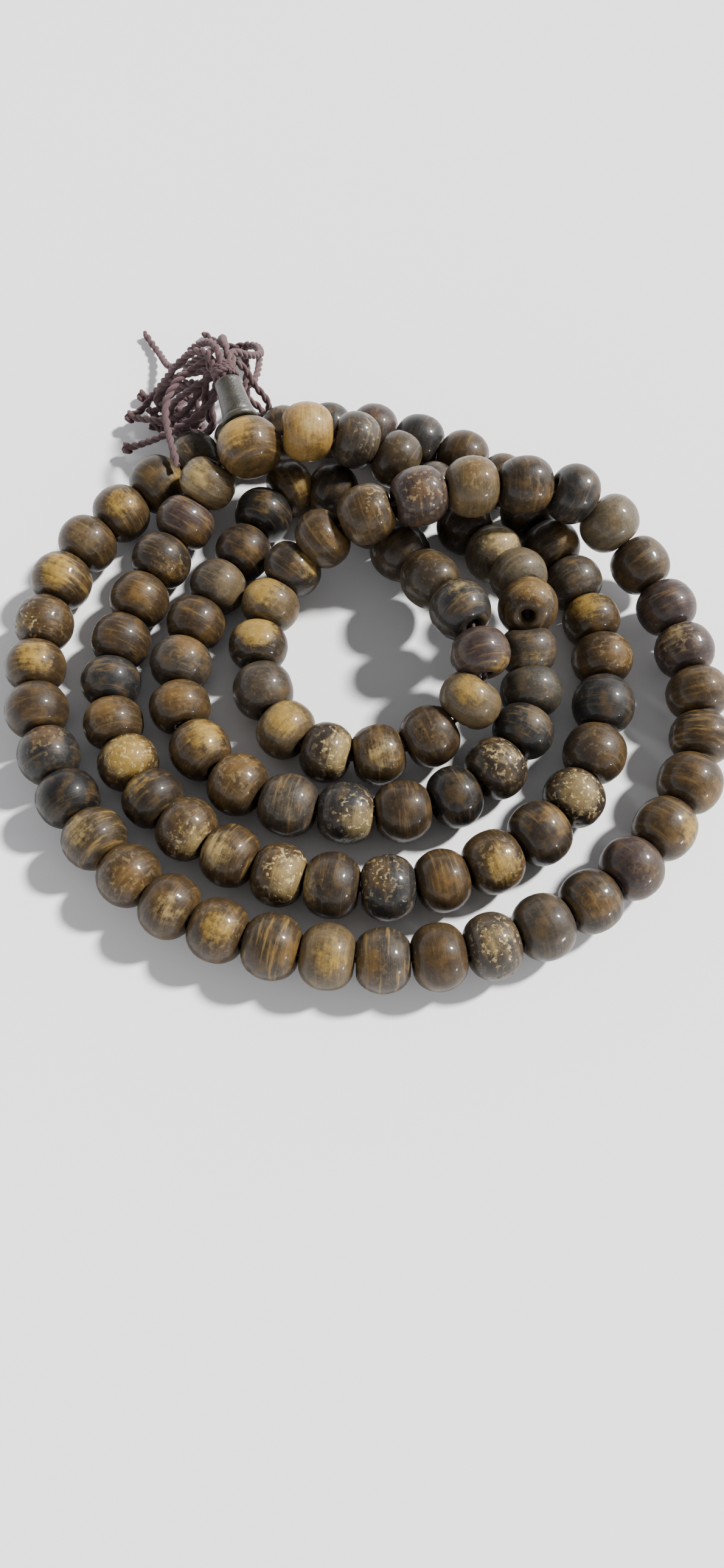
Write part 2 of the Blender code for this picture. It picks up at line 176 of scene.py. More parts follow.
# Loose cords of the tassel that curl under and over its strands, from the knot or from another strand.
CURLS = {
    "curl_front_drop": [
        (-24.2, 53.2, 15.5), (-26.1, 54.0, 14.2), (-27.4, 54.0, 13.2), (-28.2, 53.2, 11.8),
        (-28.6, 51.5, 10.2), (-28.4, 50.2, 8.4), (-27.8, 49.3, 6.6), (-28.4, 48.7, 4.8),
        (-30.3, 48.5, 3.6), (-32.5, 49.2, 3.0), (-34.7, 50.7, 2.6), (-37.0, 52.9, 2.2), (-39.0, 54.4, 1.8),
    ],
    "curl_inner": [
        (-24.8, 53.2, 15.0), (-26.6, 53.7, 13.4), (-28.7, 53.4, 12.2), (-30.9, 52.9, 11.0),
        (-33.2, 52.7, 9.4), (-34.9, 52.2, 7.6), (-35.4, 50.7, 5.8), (-34.3, 49.3, 4.8),
        (-32.3, 49.1, 4.4), (-30.7, 50.7, 4.2), (-30.2, 53.5, 4.0), (-31.3, 56.3, 4.2), (-33.3, 57.1, 4.8),
    ],
    "curl_left_bend": [
        (-24.9, 54.0, 15.0), (-26.9, 55.0, 13.6), (-29.8, 56.0, 12.0), (-32.9, 57.3, 10.0),
        (-35.8, 58.2, 7.6), (-37.9, 58.4, 5.2), (-38.7, 57.3, 3.4), (-37.3, 55.7, 2.6),
        (-35.1, 55.2, 2.2), (-32.9, 56.1, 2.2), (-31.4, 58.1, 2.6), (-30.7, 60.0, 3.4),
    ],
    "curl_over_top": [
        (-38.2, 57.1, 3.6), (-37.2, 58.9, 4.8), (-35.4, 59.0, 6.8), (-33.1, 58.4, 9.2),
        (-30.6, 57.5, 11.4), (-28.0, 57.5, 12.6), (-25.8, 57.6, 13.0), (-24.0, 59.8, 12.4),
        (-22.6, 61.7, 11.0), (-21.7, 61.0, 9.8), (-21.5, 59.1, 8.8), (-22.0, 57.1, 7.6), (-23.4, 56.1, 6.2),
    ],
    "curl_from_end": [
        (-43.7, 54.9, 2.4), (-41.7, 56.0, 2.6), (-40.2, 58.0, 3.0), (-38.5, 59.0, 4.0),
        (-35.9, 58.5, 5.8), (-32.9, 57.3, 8.0), (-30.1, 55.3, 10.0), (-28.5, 53.5, 9.8),
        (-28.4, 52.2, 8.2), (-29.3, 51.0, 6.4), (-31.2, 50.6, 5.0), (-33.5, 52.0, 3.8), (-35.4, 54.2, 3.0),
    ],
    "curl_low": [
        (-40.8, 57.8, 1.0), (-39.0, 55.8, 1.2), (-36.3, 54.6, 1.6), (-33.7, 54.5, 2.0),
        (-31.3, 53.5, 2.4), (-29.8, 51.3, 2.6), (-29.9, 48.6, 2.4), (-31.9, 47.6, 1.8),
        (-34.4, 48.8, 1.2), (-36.4, 51.1, 0.9), (-38.4, 53.3, 0.8), (-40.2, 53.8, 0.8),
    ],
    "curl_right_loop": [
        (-18.7, 54.9, 1.0), (-19.1, 56.6, 1.4), (-20.1, 57.3, 2.4), (-21.2, 57.2, 3.6),
        (-21.8, 57.6, 5.0), (-21.6, 58.3, 6.2), (-20.7, 58.7, 6.8), (-20.0, 60.8, 6.4),
        (-19.8, 64.4, 5.4), (-20.0, 68.5, 4.0), (-21.0, 72.2, 2.2), (-22.5, 73.4, 1.2),
        (-24.0, 72.0, 1.0), (-25.8, 71.5, 1.0), (-26.9, 69.7, 1.4),
    ],
    "curl_beside_tower": [
        (-24.6, 53.4, 14.6), (-25.7, 53.0, 13.4), (-26.7, 52.6, 11.6), (-27.4, 51.2, 10.0),
        (-27.3, 49.8, 8.6), (-27.2, 48.9, 7.2), (-28.0, 48.7, 5.4), (-29.7, 49.3, 4.0),
        (-31.6, 50.5, 3.0), (-33.4, 52.4, 2.4), (-34.6, 55.0, 2.0), (-34.6, 57.6, 2.0),
        (-33.8, 59.7, 2.2), (-32.2, 61.2, 2.0),
    ],
    "curl_across": [
        (-39.7, 56.4, 1.6), (-37.9, 56.5, 3.2), (-36.0, 56.6, 5.6), (-33.8, 56.1, 7.8),
        (-31.3, 55.3, 9.6), (-29.1, 54.3, 10.4), (-28.2, 53.4, 9.4), (-29.0, 52.5, 7.4),
        (-30.8, 52.6, 5.6), (-33.1, 53.9, 4.0), (-35.3, 56.1, 3.2), (-36.9, 58.2, 3.4),
    ],
}
END_KNOTS = ("strand_left", "strand_knotted", "strand_near_left")  # strands that end in an overhand knot

# Dyes and stains of the bone as a screen shows them, also the colours of the patches' painted glow and painted
# shade.
DYES = {
    "charcoal": "#222120",
    "black": "#171615",
    "dark": "#28211a",
    "umber": "#2e2419",
    "mauve": "#322825",
    "grey": "#36332d",
    "grey_brown": "#342e27",
    "olive": "#332a1d",
    "brown": "#35291a",
    "orange": "#4a3620",
    "amber": "#4f3b1d",
    "golden": "#5a4625",
    "tan": "#493d2a",
    "pale_tan": "#4b4335",
    "honey": "#7e6233",
    "yellow": "#80672f",
    "cream": "#86734a",
}

# Each bead: its dye, how strong the growth stripes are, how pitted it is, and then a patch's colour, the way
# it lies from the middle of the upper side (0 right, 90 away), how far over it is, and its spread. The last
# three are in degrees. The patch is partly the bone's own stain and partly painted light: many pale patches
# toward the upper right are a painted glow on the lit side under the highlight, and the dark patches toward
# the lower left are painted shade.
LOOKS = {
    1: ("tan", 0.9, 0.1, "cream", 180, 22, 30),
    2: ("mauve", 0.7, 0.0, "amber", 300, 55, 32),
    3: ("dark", 0.3, 0.2, "amber", 310, 45, 26),
    4: ("brown", 0.6, 0.0, "amber", 20, 12, 28),
    5: ("umber", 0.4, 0.0),
    6: ("charcoal", 0.5, 0.0, "tan", 180, 30, 13),
    7: ("brown", 0.5, 0.1, "amber", 120, 45, 40),
    8: ("brown", 0.3, 0.6, "yellow", 60, 20, 48),
    9: ("dark", 0.4, 0.0, "yellow", 130, 45, 20),
    10: ("brown", 0.3, 0.7, "cream", 310, 40, 33),
    11: ("brown", 1.0, 0.1, "cream", 150, 30, 28),
    12: ("brown", 0.3, 0.9, "cream", 0, 35, 46),
    13: ("dark", 0.3, 0.1, "cream", 180, 52, 24),
    14: ("charcoal", 0.3, 0.6, "amber", 135, 50, 35),
    15: ("brown", 0.5, 0.0, "amber", 0, 6, 28),
    16: ("brown", 0.4, 0.3, "yellow", 0, 12, 30),
    17: ("dark", 0.4, 0.0, "golden", 50, 45, 30),
    18: ("dark", 0.2, 1.0, "cream", 90, 12, 42),
    19: ("brown", 0.3, 0.1, "dark", 180, 55, 55),
    20: ("charcoal", 0.2, 0.0),
    21: ("brown", 0.3, 0.2, "amber", 20, 25, 32),
    22: ("brown", 0.4, 0.2, "yellow", 130, 40, 34),
    23: ("grey_brown", 0.3, 0.1),
    24: ("dark", 0.3, 0.1, "amber", 0, 52, 50),
    25: ("dark", 0.4, 0.0, "umber", 0, 40, 30),
    26: ("umber", 0.3, 0.1),
    27: ("brown", 0.4, 0.1, "tan", 280, 55, 34),
    28: ("charcoal", 0.3, 0.0),
    29: ("mauve", 0.4, 0.1),
    30: ("charcoal", 0.3, 0.1),
    31: ("dark", 0.4, 0.0, "amber", 300, 60, 25),
    32: ("umber", 0.3, 0.1),
    33: ("grey_brown", 0.4, 0.2, "tan", 200, 40, 30),
    34: ("olive", 0.4, 0.1, "yellow", 0, 66, 26),
    35: ("brown", 0.4, 0.1, "yellow", 45, 15, 28),
    36: ("brown", 0.4, 0.1, "tan", 0, 5, 30),
    37: ("brown", 1.0, 0.1, "yellow", 60, 15, 36),
    38: ("brown", 0.3, 0.8, "cream", 200, 25, 14),
    39: ("brown", 0.4, 0.1, "yellow", 60, 22, 32),
    40: ("umber", 0.3, 0.0),
    41: ("charcoal", 0.3, 0.2, "orange", 90, 50, 34),
    42: ("black", 0.2, 0.0),
    43: ("olive", 0.9, 0.1, "cream", 150, 30, 26),
    44: ("brown", 0.4, 0.2, "amber", 10, 12, 32),
    45: ("brown", 0.3, 0.1, "cream", 20, 6, 15),
    46: ("brown", 0.3, 0.2, "yellow", 60, 15, 26),
    47: ("olive", 0.9, 0.0, "amber", 0, 45, 34),
    48: ("tan", 0.3, 0.1, "yellow", 60, 12, 24),
    49: ("grey_brown", 1.0, 0.1, "amber", 180, 35, 36),
    50: ("brown", 0.2, 0.0),
    51: ("grey_brown", 0.3, 0.9, "cream", 90, 20, 24),
    52: ("grey_brown", 0.2, 0.0),
    53: ("dark", 0.4, 0.1, "amber", 0, 8, 26),
    54: ("mauve", 0.3, 0.1, "brown", 0, 40, 30),
    55: ("brown", 0.4, 0.1, "yellow", 0, 42, 28),
    56: ("brown", 0.4, 0.1, "amber", 315, 42, 30),
    57: ("brown", 0.9, 0.0),
    58: ("brown", 0.4, 0.1, "amber", 45, 38, 20),
    59: ("mauve", 0.4, 0.3, "cream", 135, 48, 22),
    60: ("mauve", 0.5, 0.0, "grey", 200, 20, 10),
    61: ("umber", 0.3, 0.1, "tan", 45, 55, 28),
    62: ("pale_tan", 0.3, 0.1),
    63: ("charcoal", 0.4, 0.0, "brown", 0, 60, 32),
    64: ("dark", 0.4, 0.1, "amber", 310, 50, 28),
    65: ("tan", 0.5, 0.2, "amber", 60, 30, 36),
    66: ("mauve", 0.4, 0.4, "orange", 0, 8, 26),
    67: ("brown", 0.4, 0.5, "tan", 45, 42, 20),
    68: ("brown", 0.5, 0.1, "amber", 0, 42, 34),
    69: ("dark", 0.3, 0.1, "yellow", 10, 42, 26),
    70: ("tan", 0.4, 0.2, "yellow", 120, 35, 38),
    71: ("dark", 0.3, 0.2, "yellow", 90, 42, 46),
    72: ("grey_brown", 0.2, 0.1),
    73: ("tan", 0.3, 0.1, "yellow", 90, 25, 38),
    74: ("dark", 0.3, 0.7, "cream", 0, 46, 46),
    75: ("brown", 0.6, 0.1, "cream", 20, 10, 24),
    76: ("umber", 0.3, 0.1),
    77: ("tan", 0.2, 0.1, "yellow", 110, 20, 28),
    78: ("mauve", 0.4, 0.1, "yellow", 320, 60, 16),
    79: ("charcoal", 0.4, 0.1, "cream", 100, 45, 14),
    80: ("olive", 0.4, 0.1, "dark", 200, 30, 50),
    81: ("dark", 0.3, 0.0),
    82: ("umber", 0.3, 0.1),
    83: ("dark", 0.3, 0.0),
    84: ("brown", 0.4, 0.1, "yellow", 0, 42, 28),
    85: ("black", 0.4, 0.0, "golden", 70, 20, 16),
    86: ("dark", 0.4, 0.0, "amber", 330, 25, 22),
    87: ("grey_brown", 0.4, 0.1, "tan", 0, 50, 50),
    88: ("umber", 0.4, 0.0, "amber", 315, 48, 20),
    89: ("grey_brown", 0.4, 0.1, "amber", 50, 45, 34),
    90: ("brown", 0.4, 0.1, "amber", 90, 30, 34),
    91: ("brown", 0.4, 0.1, "yellow", 60, 40, 36),
    92: ("brown", 0.4, 0.2, "amber", 90, 40, 36),
    93: ("grey_brown", 0.7, 0.1, "pale_tan", 180, 8, 20),
    94: ("charcoal", 0.2, 1.0, "cream", 330, 42, 40),
    95: ("umber", 0.4, 0.0),
    96: ("black", 0.3, 0.0),
    97: ("dark", 0.3, 0.8, "cream", 60, 30, 18),
    98: ("charcoal", 0.4, 0.1, "tan", 45, 45, 32),
    99: ("grey", 0.3, 0.1),
    100: ("grey_brown", 0.3, 0.1, "yellow", 270, 40, 18),
    101: ("brown", 0.4, 0.2, "golden", 80, 45, 44),
    102: ("pale_tan", 0.5, 0.1, "grey_brown", 250, 30, 26),
    103: ("pale_tan", 0.5, 0.4, "cream", 60, 30, 40),
    104: ("dark", 0.3, 0.0),
    105: ("dark", 0.3, 0.0),
    106: ("olive", 0.4, 0.1, "umber", 200, 30, 50),
    107: ("grey_brown", 0.5, 0.4, "pale_tan", 0, 50, 30),
    108: ("honey", 0.8, 0.1, "cream", 10, 14, 30),
}
SMALL_BEADS = (78, 100)
BEAD_TILTS = {101: (-0.13, -0.91, 0.53)}  # beads that lean out of the cord's line


# Settings that a user may change.


class MalaBeadSettings(bpy.types.PropertyGroup):
    diameter: FloatProperty(
        name="Bead Diameter", description="Across the belly of a bead",
        default=0.0101, min=0.008, max=0.0102, unit="LENGTH", precision=5,
    )
    spread: FloatProperty(
        name="Size Spread", description="How much the hand-turned beads differ in size",
        default=0.055, min=0.0, max=0.1, subtype="FACTOR",
    )
    end_diameter: FloatProperty(
        name="End Diameter", description="Across the flat where two beads meet",
        default=0.0048, min=0.003, max=0.007, unit="LENGTH", precision=5,
    )
    bore: FloatProperty(
        name="Bore", description="Across the hole for the cord",
        default=0.0021, min=0.001, max=0.003, unit="LENGTH", precision=5,
    )
    groove: FloatProperty(
        name="Groove Depth", description="Depth of the growth lines on a striped bead",
        default=0.00014, min=0.0, max=0.0005, unit="LENGTH", precision=6,
    )
    pit: FloatProperty(
        name="Pit Depth", description="Depth of the pits on a pitted bead",
        default=0.0003, min=0.0, max=0.0008, unit="LENGTH", precision=6,
    )
    around: IntProperty(
        name="Faces Around", description="Faces round a bead", default=60, min=16, max=128,
    )
    rows: IntProperty(
        name="Faces Along", description="Faces over the outside, an end, the bore and an end", default=42,
        min=16, max=96,
    )


class MalaCordSettings(bpy.types.PropertyGroup):
    string: FloatProperty(
        name="String Diameter", description="Across the cord through the beads",
        default=0.0010, min=0.0005, max=0.002, unit="LENGTH", precision=5,
    )
    tassel: FloatProperty(
        name="Tassel Cord Diameter", description="Across one cord of the tassel",
        default=0.0014, min=0.0008, max=0.002, unit="LENGTH", precision=5,
    )
    lay: FloatProperty(
        name="Lay", description="One full turn of a ply, in cord diameters", default=2.6, min=1.5, max=8.0,
    )
    tassel_colour: FloatVectorProperty(
        name="Tassel Colour", description="Colour of the tassel cords", subtype="COLOR",
        default=(0.082, 0.040, 0.042), min=0.0, max=1.0,
    )
    string_colour: FloatVectorProperty(
        name="String Colour", description="Colour of the waxed string", subtype="COLOR",
        default=(0.045, 0.022, 0.015), min=0.0, max=1.0,
    )


class MalaStageSettings(bpy.types.PropertyGroup):
    key: FloatProperty(name="Key Light", description="Strength of the main light", default=9.6, min=0.0)
    softness: FloatProperty(
        name="Softness", description="Width of the main light as seen from the beads",
        default=math.radians(6.5), subtype="ANGLE",
    )
    fill: FloatProperty(
        name="Fill Light", description="Strength of the light all round", default=2.3, min=0.0,
    )
    floor: FloatVectorProperty(
        name="Floor Colour", description="Colour of the table", subtype="COLOR",
        default=(0.885, 0.888, 0.895), min=0.0, max=1.0,
    )


# Node trees: small helpers, so that a formula on sockets reads like one on numbers.


class Wire:
    """The value of a socket in a node tree, with arithmetic that adds Math nodes."""

    def __init__(self, tree, socket):
        self.tree = tree
        self.socket = socket

    def math(self, operation, *others, clamp=False):
        node = self.tree.nodes.new("ShaderNodeMath")
        node.operation = operation
        node.use_clamp = clamp
        for slot, value in zip(node.inputs, (self, *others)):
            plug(self.tree, slot, value)
        return Wire(self.tree, node.outputs[0])

    def __add__(self, other):
        return self.math("ADD", other)

    def __sub__(self, other):
        return self.math("SUBTRACT", other)

    def __rsub__(self, other):
        return (self * -1.0).math("ADD", other)

    def __mul__(self, other):
        return self.math("MULTIPLY", other)

    def __truediv__(self, other):
        return self.math("DIVIDE", other)

    __radd__ = __add__
    __rmul__ = __mul__

    def between(self, low, high):
        """0 at low and under, 1 at high and over, and smooth from one to the other."""
        node = self.tree.nodes.new("ShaderNodeMapRange")
        node.interpolation_type = "SMOOTHSTEP"
        for name, value in (("Value", self), ("From Min", low), ("From Max", high)):
            plug(self.tree, node.inputs[name], value)
        return Wire(self.tree, node.outputs["Result"])


def plug(tree, slot, value):
    """Links a wire or socket to an input, or sets the input to a plain value."""
    if isinstance(value, Wire):
        tree.links.new(value.socket, slot)
    elif isinstance(value, bpy.types.NodeSocket):
        tree.links.new(value, slot)
    else:
        slot.default_value = value


def add(tree, kind, inputs=None, **settings):
    """A new node with its settings and inputs."""
    node = tree.nodes.new(kind)
    for name, value in settings.items():
        setattr(node, name, value)
    for name, value in (inputs or {}).items():
        plug(tree, node.inputs[name], value)
    return node


def vector(tree, x, y, z):
    node = add(tree, "ShaderNodeCombineXYZ", {"X": x, "Y": y, "Z": z})
    return node.outputs[0]


def vector_math(tree, operation, *values):
    node = tree.nodes.new("ShaderNodeVectorMath")
    node.operation = operation
    for slot, value in zip(node.inputs, values):
        plug(tree, slot, value)
    return node.outputs["Value" if operation in ("DOT_PRODUCT", "LENGTH") else "Vector"]


def scaled(tree, where, factor):
    """A vector times a number."""
    node = add(tree, "ShaderNodeVectorMath", {"Vector": where, "Scale": factor}, operation="SCALE")
    return node.outputs["Vector"]


def noise(tree, where, scale, detail=2.0, roughness=0.5):
    """A noise from 0 to 1."""
    inputs = {"Vector": where, "Scale": scale, "Detail": detail, "Roughness": roughness}
    node = add(tree, "ShaderNodeTexNoise", inputs)
    return Wire(tree, node.outputs[0])


def mix(tree, factor, first, second):
    """Two colours mixed by a factor."""
    node = add(tree, "ShaderNodeMix", data_type="RGBA")
    for slot, value in ((0, factor), (6, first), (7, second)):
        plug(tree, node.inputs[slot], value)
    return node.outputs[2]


def sockets(tree, inputs, outputs):
    """Names the inputs and outputs of a tree, each (name, kind, default or None)."""
    for in_out, rows in (("INPUT", inputs), ("OUTPUT", outputs)):
        for name, kind, value in rows:
            socket = tree.interface.new_socket(name=name, in_out=in_out, socket_type=f"NodeSocket{kind}")
            if value is not None:
                socket.default_value = value
    given = tree.nodes.new("NodeGroupInput")
    return given, tree.nodes.new("NodeGroupOutput")


# Shapes made by Geometry Nodes.


def finish_tree(tree, result, geometry, material):
    """Ends a tree the same way each time: smooth, real faces and one material."""
    smooth = add(tree, "GeometryNodeSetShadeSmooth", {"Geometry": geometry})
    real = add(tree, "GeometryNodeRealizeInstances", {"Geometry": smooth.outputs[0]})
    painted = add(tree, "GeometryNodeSetMaterial", {"Geometry": real.outputs[0], "Material": material})
    plug(tree, result.inputs[0], painted.outputs[0])


def keep(tree, geometry, name, kind, value):
    """Stores a value on the points under a name, for the material to read."""
    node = add(tree, "GeometryNodeStoreNamedAttribute", {"Geometry": geometry, "Name": name},
               data_type=kind, domain="POINT")
    plug(tree, node.inputs["Value"], value)
    return node.outputs[0]


FULLNESS = 0.70  # 1 is a ball between the ends, and less is a fuller barrel
OUTSIDE, END, CORE = 0.78, 0.09, 0.04  # shares of a bead's rows: the outside, each end face and the bore
LINE_STRETCH = 0.10  # how slowly the growth lines change across the axis, against along it
WELD = 0.001  # points closer than this become one
END_HOLLOW = 0.07  # how far an end face is dished at the bore, as a share of half the length
PLY_RADIUS = 0.59  # of one ply, as a share of the cord's radius
PLY_OFFSET = 0.40  # from the cord's middle to a ply's, as a share of the same


def bead_tree():
    """A bored bead turned about Z: a sheet wrapped round the outside, an end, the bore and the other end."""
    tree = bpy.data.node_groups.new("turned bead", "GeometryNodeTree")
    given, result = sockets(tree, [
        ("Radius", "Float", 0.00485), ("Half Length", "Float", 0.0041), ("End Radius", "Float", 0.0025),
        ("Bore Radius", "Float", 0.001), ("Around", "Int", 60), ("Rows", "Int", 42),
        ("Groove Depth", "Float", 0.0001), ("Pit Depth", "Float", 0.0002), ("Unevenness", "Float", 0.00012),
        ("Seed", "Float", 0.0), ("Dye", "Color", None), ("Patch Dye And Painted Light", "Color", None),
        ("Patch Toward", "Vector", None), ("Patch Spread", "Float", 0.0), ("Stripes", "Float", 0.3),
        ("Pits", "Float", 0.0), ("Material", "Material", None),
    ], [("Geometry", "Geometry", None)])
    value = {s.name: Wire(tree, s) for s in given.outputs if s.name}
    sheet = add(tree, "GeometryNodeMeshGrid", {
        "Size X": 1.0, "Size Y": 1.0,
        "Vertices X": value["Around"] + 1.0, "Vertices Y": value["Rows"] + 1.0,
    })
    flat = add(tree, "ShaderNodeSeparateXYZ", {0: add(tree, "GeometryNodeInputPosition").outputs[0]})
    turn = (Wire(tree, flat.outputs[0]) + 0.5) * math.tau
    row = Wire(tree, flat.outputs[1]) + 0.5

    over = (row / OUTSIDE).math("MINIMUM", 1.0)
    widest = (value["End Radius"] / value["Radius"]).math("POWER", 1.0 / FULLNESS).math("ARCCOSINE")
    lean = (1.0 - over * 2.0) * widest
    belly = lean.math("COSINE").math("POWER", FULLNESS)
    low_end = ((row - OUTSIDE) / END).math("ADD", 0.0, clamp=True)
    core = ((row - (OUTSIDE + END)) / CORE).math("ADD", 0.0, clamp=True)
    high_end = ((row - (OUTSIDE + END + CORE)) / (1.0 - OUTSIDE - END - CORE)).math("ADD", 0.0, clamp=True)
    inward = low_end - high_end
    ring = value["Radius"] * belly - (value["End Radius"] - value["Bore Radius"]) * inward
    height = value["Half Length"] * (lean.math("SINE") / widest.math("SINE") + core * 2.0)
    height = height * (1.0 - inward * inward * END_HOLLOW)
    cos_turn, sin_turn = turn.math("COSINE"), turn.math("SINE")
    smooth_point = vector(tree, ring * cos_turn, ring * sin_turn, height)
    shift = vector(tree, value["Seed"] * 13.7, value["Seed"] * -7.1, value["Seed"] * 5.3)
    grain = vector_math(tree, "ADD", scaled(tree, smooth_point, 1.0 / MM), shift)

    part = add(tree, "ShaderNodeSeparateXYZ", {0: grain})
    across = vector(
        tree, Wire(tree, part.outputs[0]) * LINE_STRETCH, Wire(tree, part.outputs[1]) * LINE_STRETCH,
        part.outputs[2],
    )
    lines = noise(tree, across, 1.9, 3.0, 0.6) - 0.5
    dent = noise(tree, grain, 1.25, 2.0, 0.55).between(0.58, 0.72)
    swell = noise(tree, grain, 0.28, 1.0) - 0.5
    off = lines * value["Groove Depth"] * value["Stripes"] * 2.0
    off = off - dent * value["Pit Depth"] * value["Pits"] + swell * value["Unevenness"] * 2.0
    ring = ring + off * (1.0 - inward)
    # The patch is a cap on one side of the bead. It is partly the bone's own stain and partly painted light: a
    # paler painted glow on the lit side, and darker painted shade on the side away from the light.
    toward = Wire(tree, vector_math(tree, "DOT_PRODUCT", vector_math(tree, "NORMALIZE", smooth_point),
                                    value["Patch Toward"].socket))
    patch = toward - value["Patch Spread"].math("COSINE")
    figure = vector(tree, value["Stripes"], value["Pits"], inward)
    # The sheet is still flat where the position is read, so all is stored before it is wrapped.
    stored = sheet.outputs[0]
    for name, kind, what in (
        ("grain", "FLOAT_VECTOR", grain), ("dye", "FLOAT_COLOR", value["Dye"]),
        ("patch_dye_and_painted_light", "FLOAT_COLOR", value["Patch Dye And Painted Light"]), ("patch", "FLOAT", patch),
        ("figure", "FLOAT_VECTOR", figure),
    ):
        stored = keep(tree, stored, name, kind, what)
    wrapped = add(tree, "GeometryNodeSetPosition", {
        "Geometry": stored, "Position": vector(tree, ring * cos_turn, ring * sin_turn, height)})
    closed = add(tree, "GeometryNodeMergeByDistance", {
        "Geometry": wrapped.outputs[0], "Distance": WELD * MM})
    finish_tree(tree, result, closed.outputs[0], value["Material"])
    return tree


def cord_tree():
    """A cord of twisted plies along a curve, its ends filled."""
    tree = bpy.data.node_groups.new("twisted cord", "GeometryNodeTree")
    given, result = sockets(tree, [
        ("Geometry", "Geometry", None), ("Cord Radius", "Float", 0.0007), ("Lay", "Float", 0.0036),
        ("Step", "Float", 0.0004), ("Sides", "Int", 8), ("Material", "Material", None),
    ], [("Geometry", "Geometry", None)])
    value = {s.name: Wire(tree, s) for s in given.outputs if s.name}
    line = add(tree, "GeometryNodeResampleCurve", {
        "Curve": value["Geometry"], "Length": value["Step"]}, mode="LENGTH")
    path = add(tree, "GeometryNodeSplineParameter")
    along = Wire(tree, path.outputs["Length"])
    stored = keep(tree, line.outputs[0], "along", "FLOAT", along * (1.0 / MM))
    normal = add(tree, "GeometryNodeInputNormal").outputs[0]
    tangent = add(tree, "GeometryNodeInputTangent").outputs[0]
    side = vector_math(tree, "CROSS_PRODUCT", tangent, normal)
    ply_radius = value["Cord Radius"] * PLY_RADIUS
    circle = add(tree, "GeometryNodeCurvePrimitiveCircle", {
        "Resolution": value["Sides"], "Radius": ply_radius}, mode="RADIUS")
    around = add(tree, "GeometryNodeSplineParameter").outputs["Factor"]
    section = keep(tree, circle.outputs[0], "around", "FLOAT", around)
    joined = add(tree, "GeometryNodeJoinGeometry")
    for ply in range(2):
        angle = along / value["Lay"] * math.tau + ply * math.pi
        out = value["Cord Radius"] * PLY_OFFSET
        offset = vector_math(tree, "ADD", scaled(tree, normal, angle.math("COSINE") * out),
                             scaled(tree, side, angle.math("SINE") * out))
        moved = add(tree, "GeometryNodeSetPosition", {"Geometry": stored, "Offset": offset})
        swept = add(tree, "GeometryNodeCurveToMesh", {
            "Curve": moved.outputs[0], "Profile Curve": section, "Fill Caps": True})
        tree.links.new(swept.outputs[0], joined.inputs[0])
    finish_tree(tree, result, joined.outputs[0], value["Material"])
    return tree


def grown(obj, tree, values):
    """The object with the tree's result as its plain mesh."""
    modifier = obj.modifiers.new("make", "NODES")
    modifier.node_group = tree
    for item in tree.interface.items_tree:
        if item.item_type == "SOCKET" and item.in_out == "INPUT" and item.name in values:
            modifier[item.identifier] = values[item.name]
    graph = bpy.context.evaluated_depsgraph_get()
    mesh = bpy.data.meshes.new_from_object(obj.evaluated_get(graph))
    name = obj.name
    bpy.data.objects.remove(obj, do_unlink=True)
    if not mesh.polygons:
        raise RuntimeError(f"{name} came out empty")
    mesh.name = name
    made = bpy.data.objects.new(name, mesh)
    bpy.context.scene.collection.objects.link(made)
    return made


def empty_piece(name):
    obj = bpy.data.objects.new(name, bpy.data.meshes.new(name))
    bpy.context.scene.collection.objects.link(obj)
    return obj


def curve_piece(name, points, closed=False):
    """A poly curve through points in millimetres."""
    curve = bpy.data.curves.new(name, "CURVE")
    curve.dimensions = "3D"
    spline = curve.splines.new("POLY")
    spline.points.add(len(points) - 1)
    for knot, point in zip(spline.points, points):
        knot.co = (*(point * MM), 1.0)
    spline.use_cyclic_u = closed
    obj = bpy.data.objects.new(name, curve)
    bpy.context.scene.collection.objects.link(obj)
    return obj


def settle(obj, body, slot, *nodes):
    """Puts a finished piece on its body and in place of its plain solids, which it hides; the slot is not
    used.
    """
    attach(obj, body)
    if nodes:
        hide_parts(*nodes)
    return obj


# The line of the cord.


def along(number):
    """The point of the route at a bead number, on a smooth curve through the listed points."""
    last = len(ROUTE) - 1
    k = max(i for i in range(last) if ROUTE[i][0] <= number)
    before = ROUTE[k - 1] if k else (ROUTE[last - 1][0] - BEADS - 1,) + ROUTE[last - 1][1:]
    after = ROUTE[k + 2] if k + 2 <= last else (ROUTE[1][0] + BEADS + 1,) + ROUTE[1][1:]
    a, b = ROUTE[k], ROUTE[k + 1]

    def slope(p, q, r):
        """The curve's slope at q, from the two chords that meet there."""
        near, far = q[0] - p[0], r[0] - q[0]
        first = (Vector(q[1:]) - Vector(p[1:])) / near
        second = (Vector(r[1:]) - Vector(q[1:])) / far
        return (first * far + second * near) / (near + far)

    span = b[0] - a[0]
    t = (number - a[0]) / span
    start, end = slope(before, a, b) * span, slope(a, b, after) * span
    h00, h10 = 2 * t**3 - 3 * t**2 + 1, t**3 - 2 * t**2 + t
    h01, h11 = -2 * t**3 + 3 * t**2, t**3 - t**2
    point = Vector(a[1:]) * h00 + start * h10 + Vector(b[1:]) * h01 + end * h11
    point.z = max(point.z, BEAD_LOW)
    return point


GAPS = [along(i + 0.5) for i in range(BEADS + 1)]  # GAPS[i] lies between beads i and i + 1
GURU = Vector(ROUTE[0][1:])
UP_TOWER = Vector(TOWER_WAY).normalized()
TOWER_START = GURU_HALF + CLEAR
KNOT_START = TOWER_START + TOWER_LENGTH + CLEAR
UPPER_SIDE = Vector((0.3, 0.2, 1.0))  # the side that a turned piece's own X faces


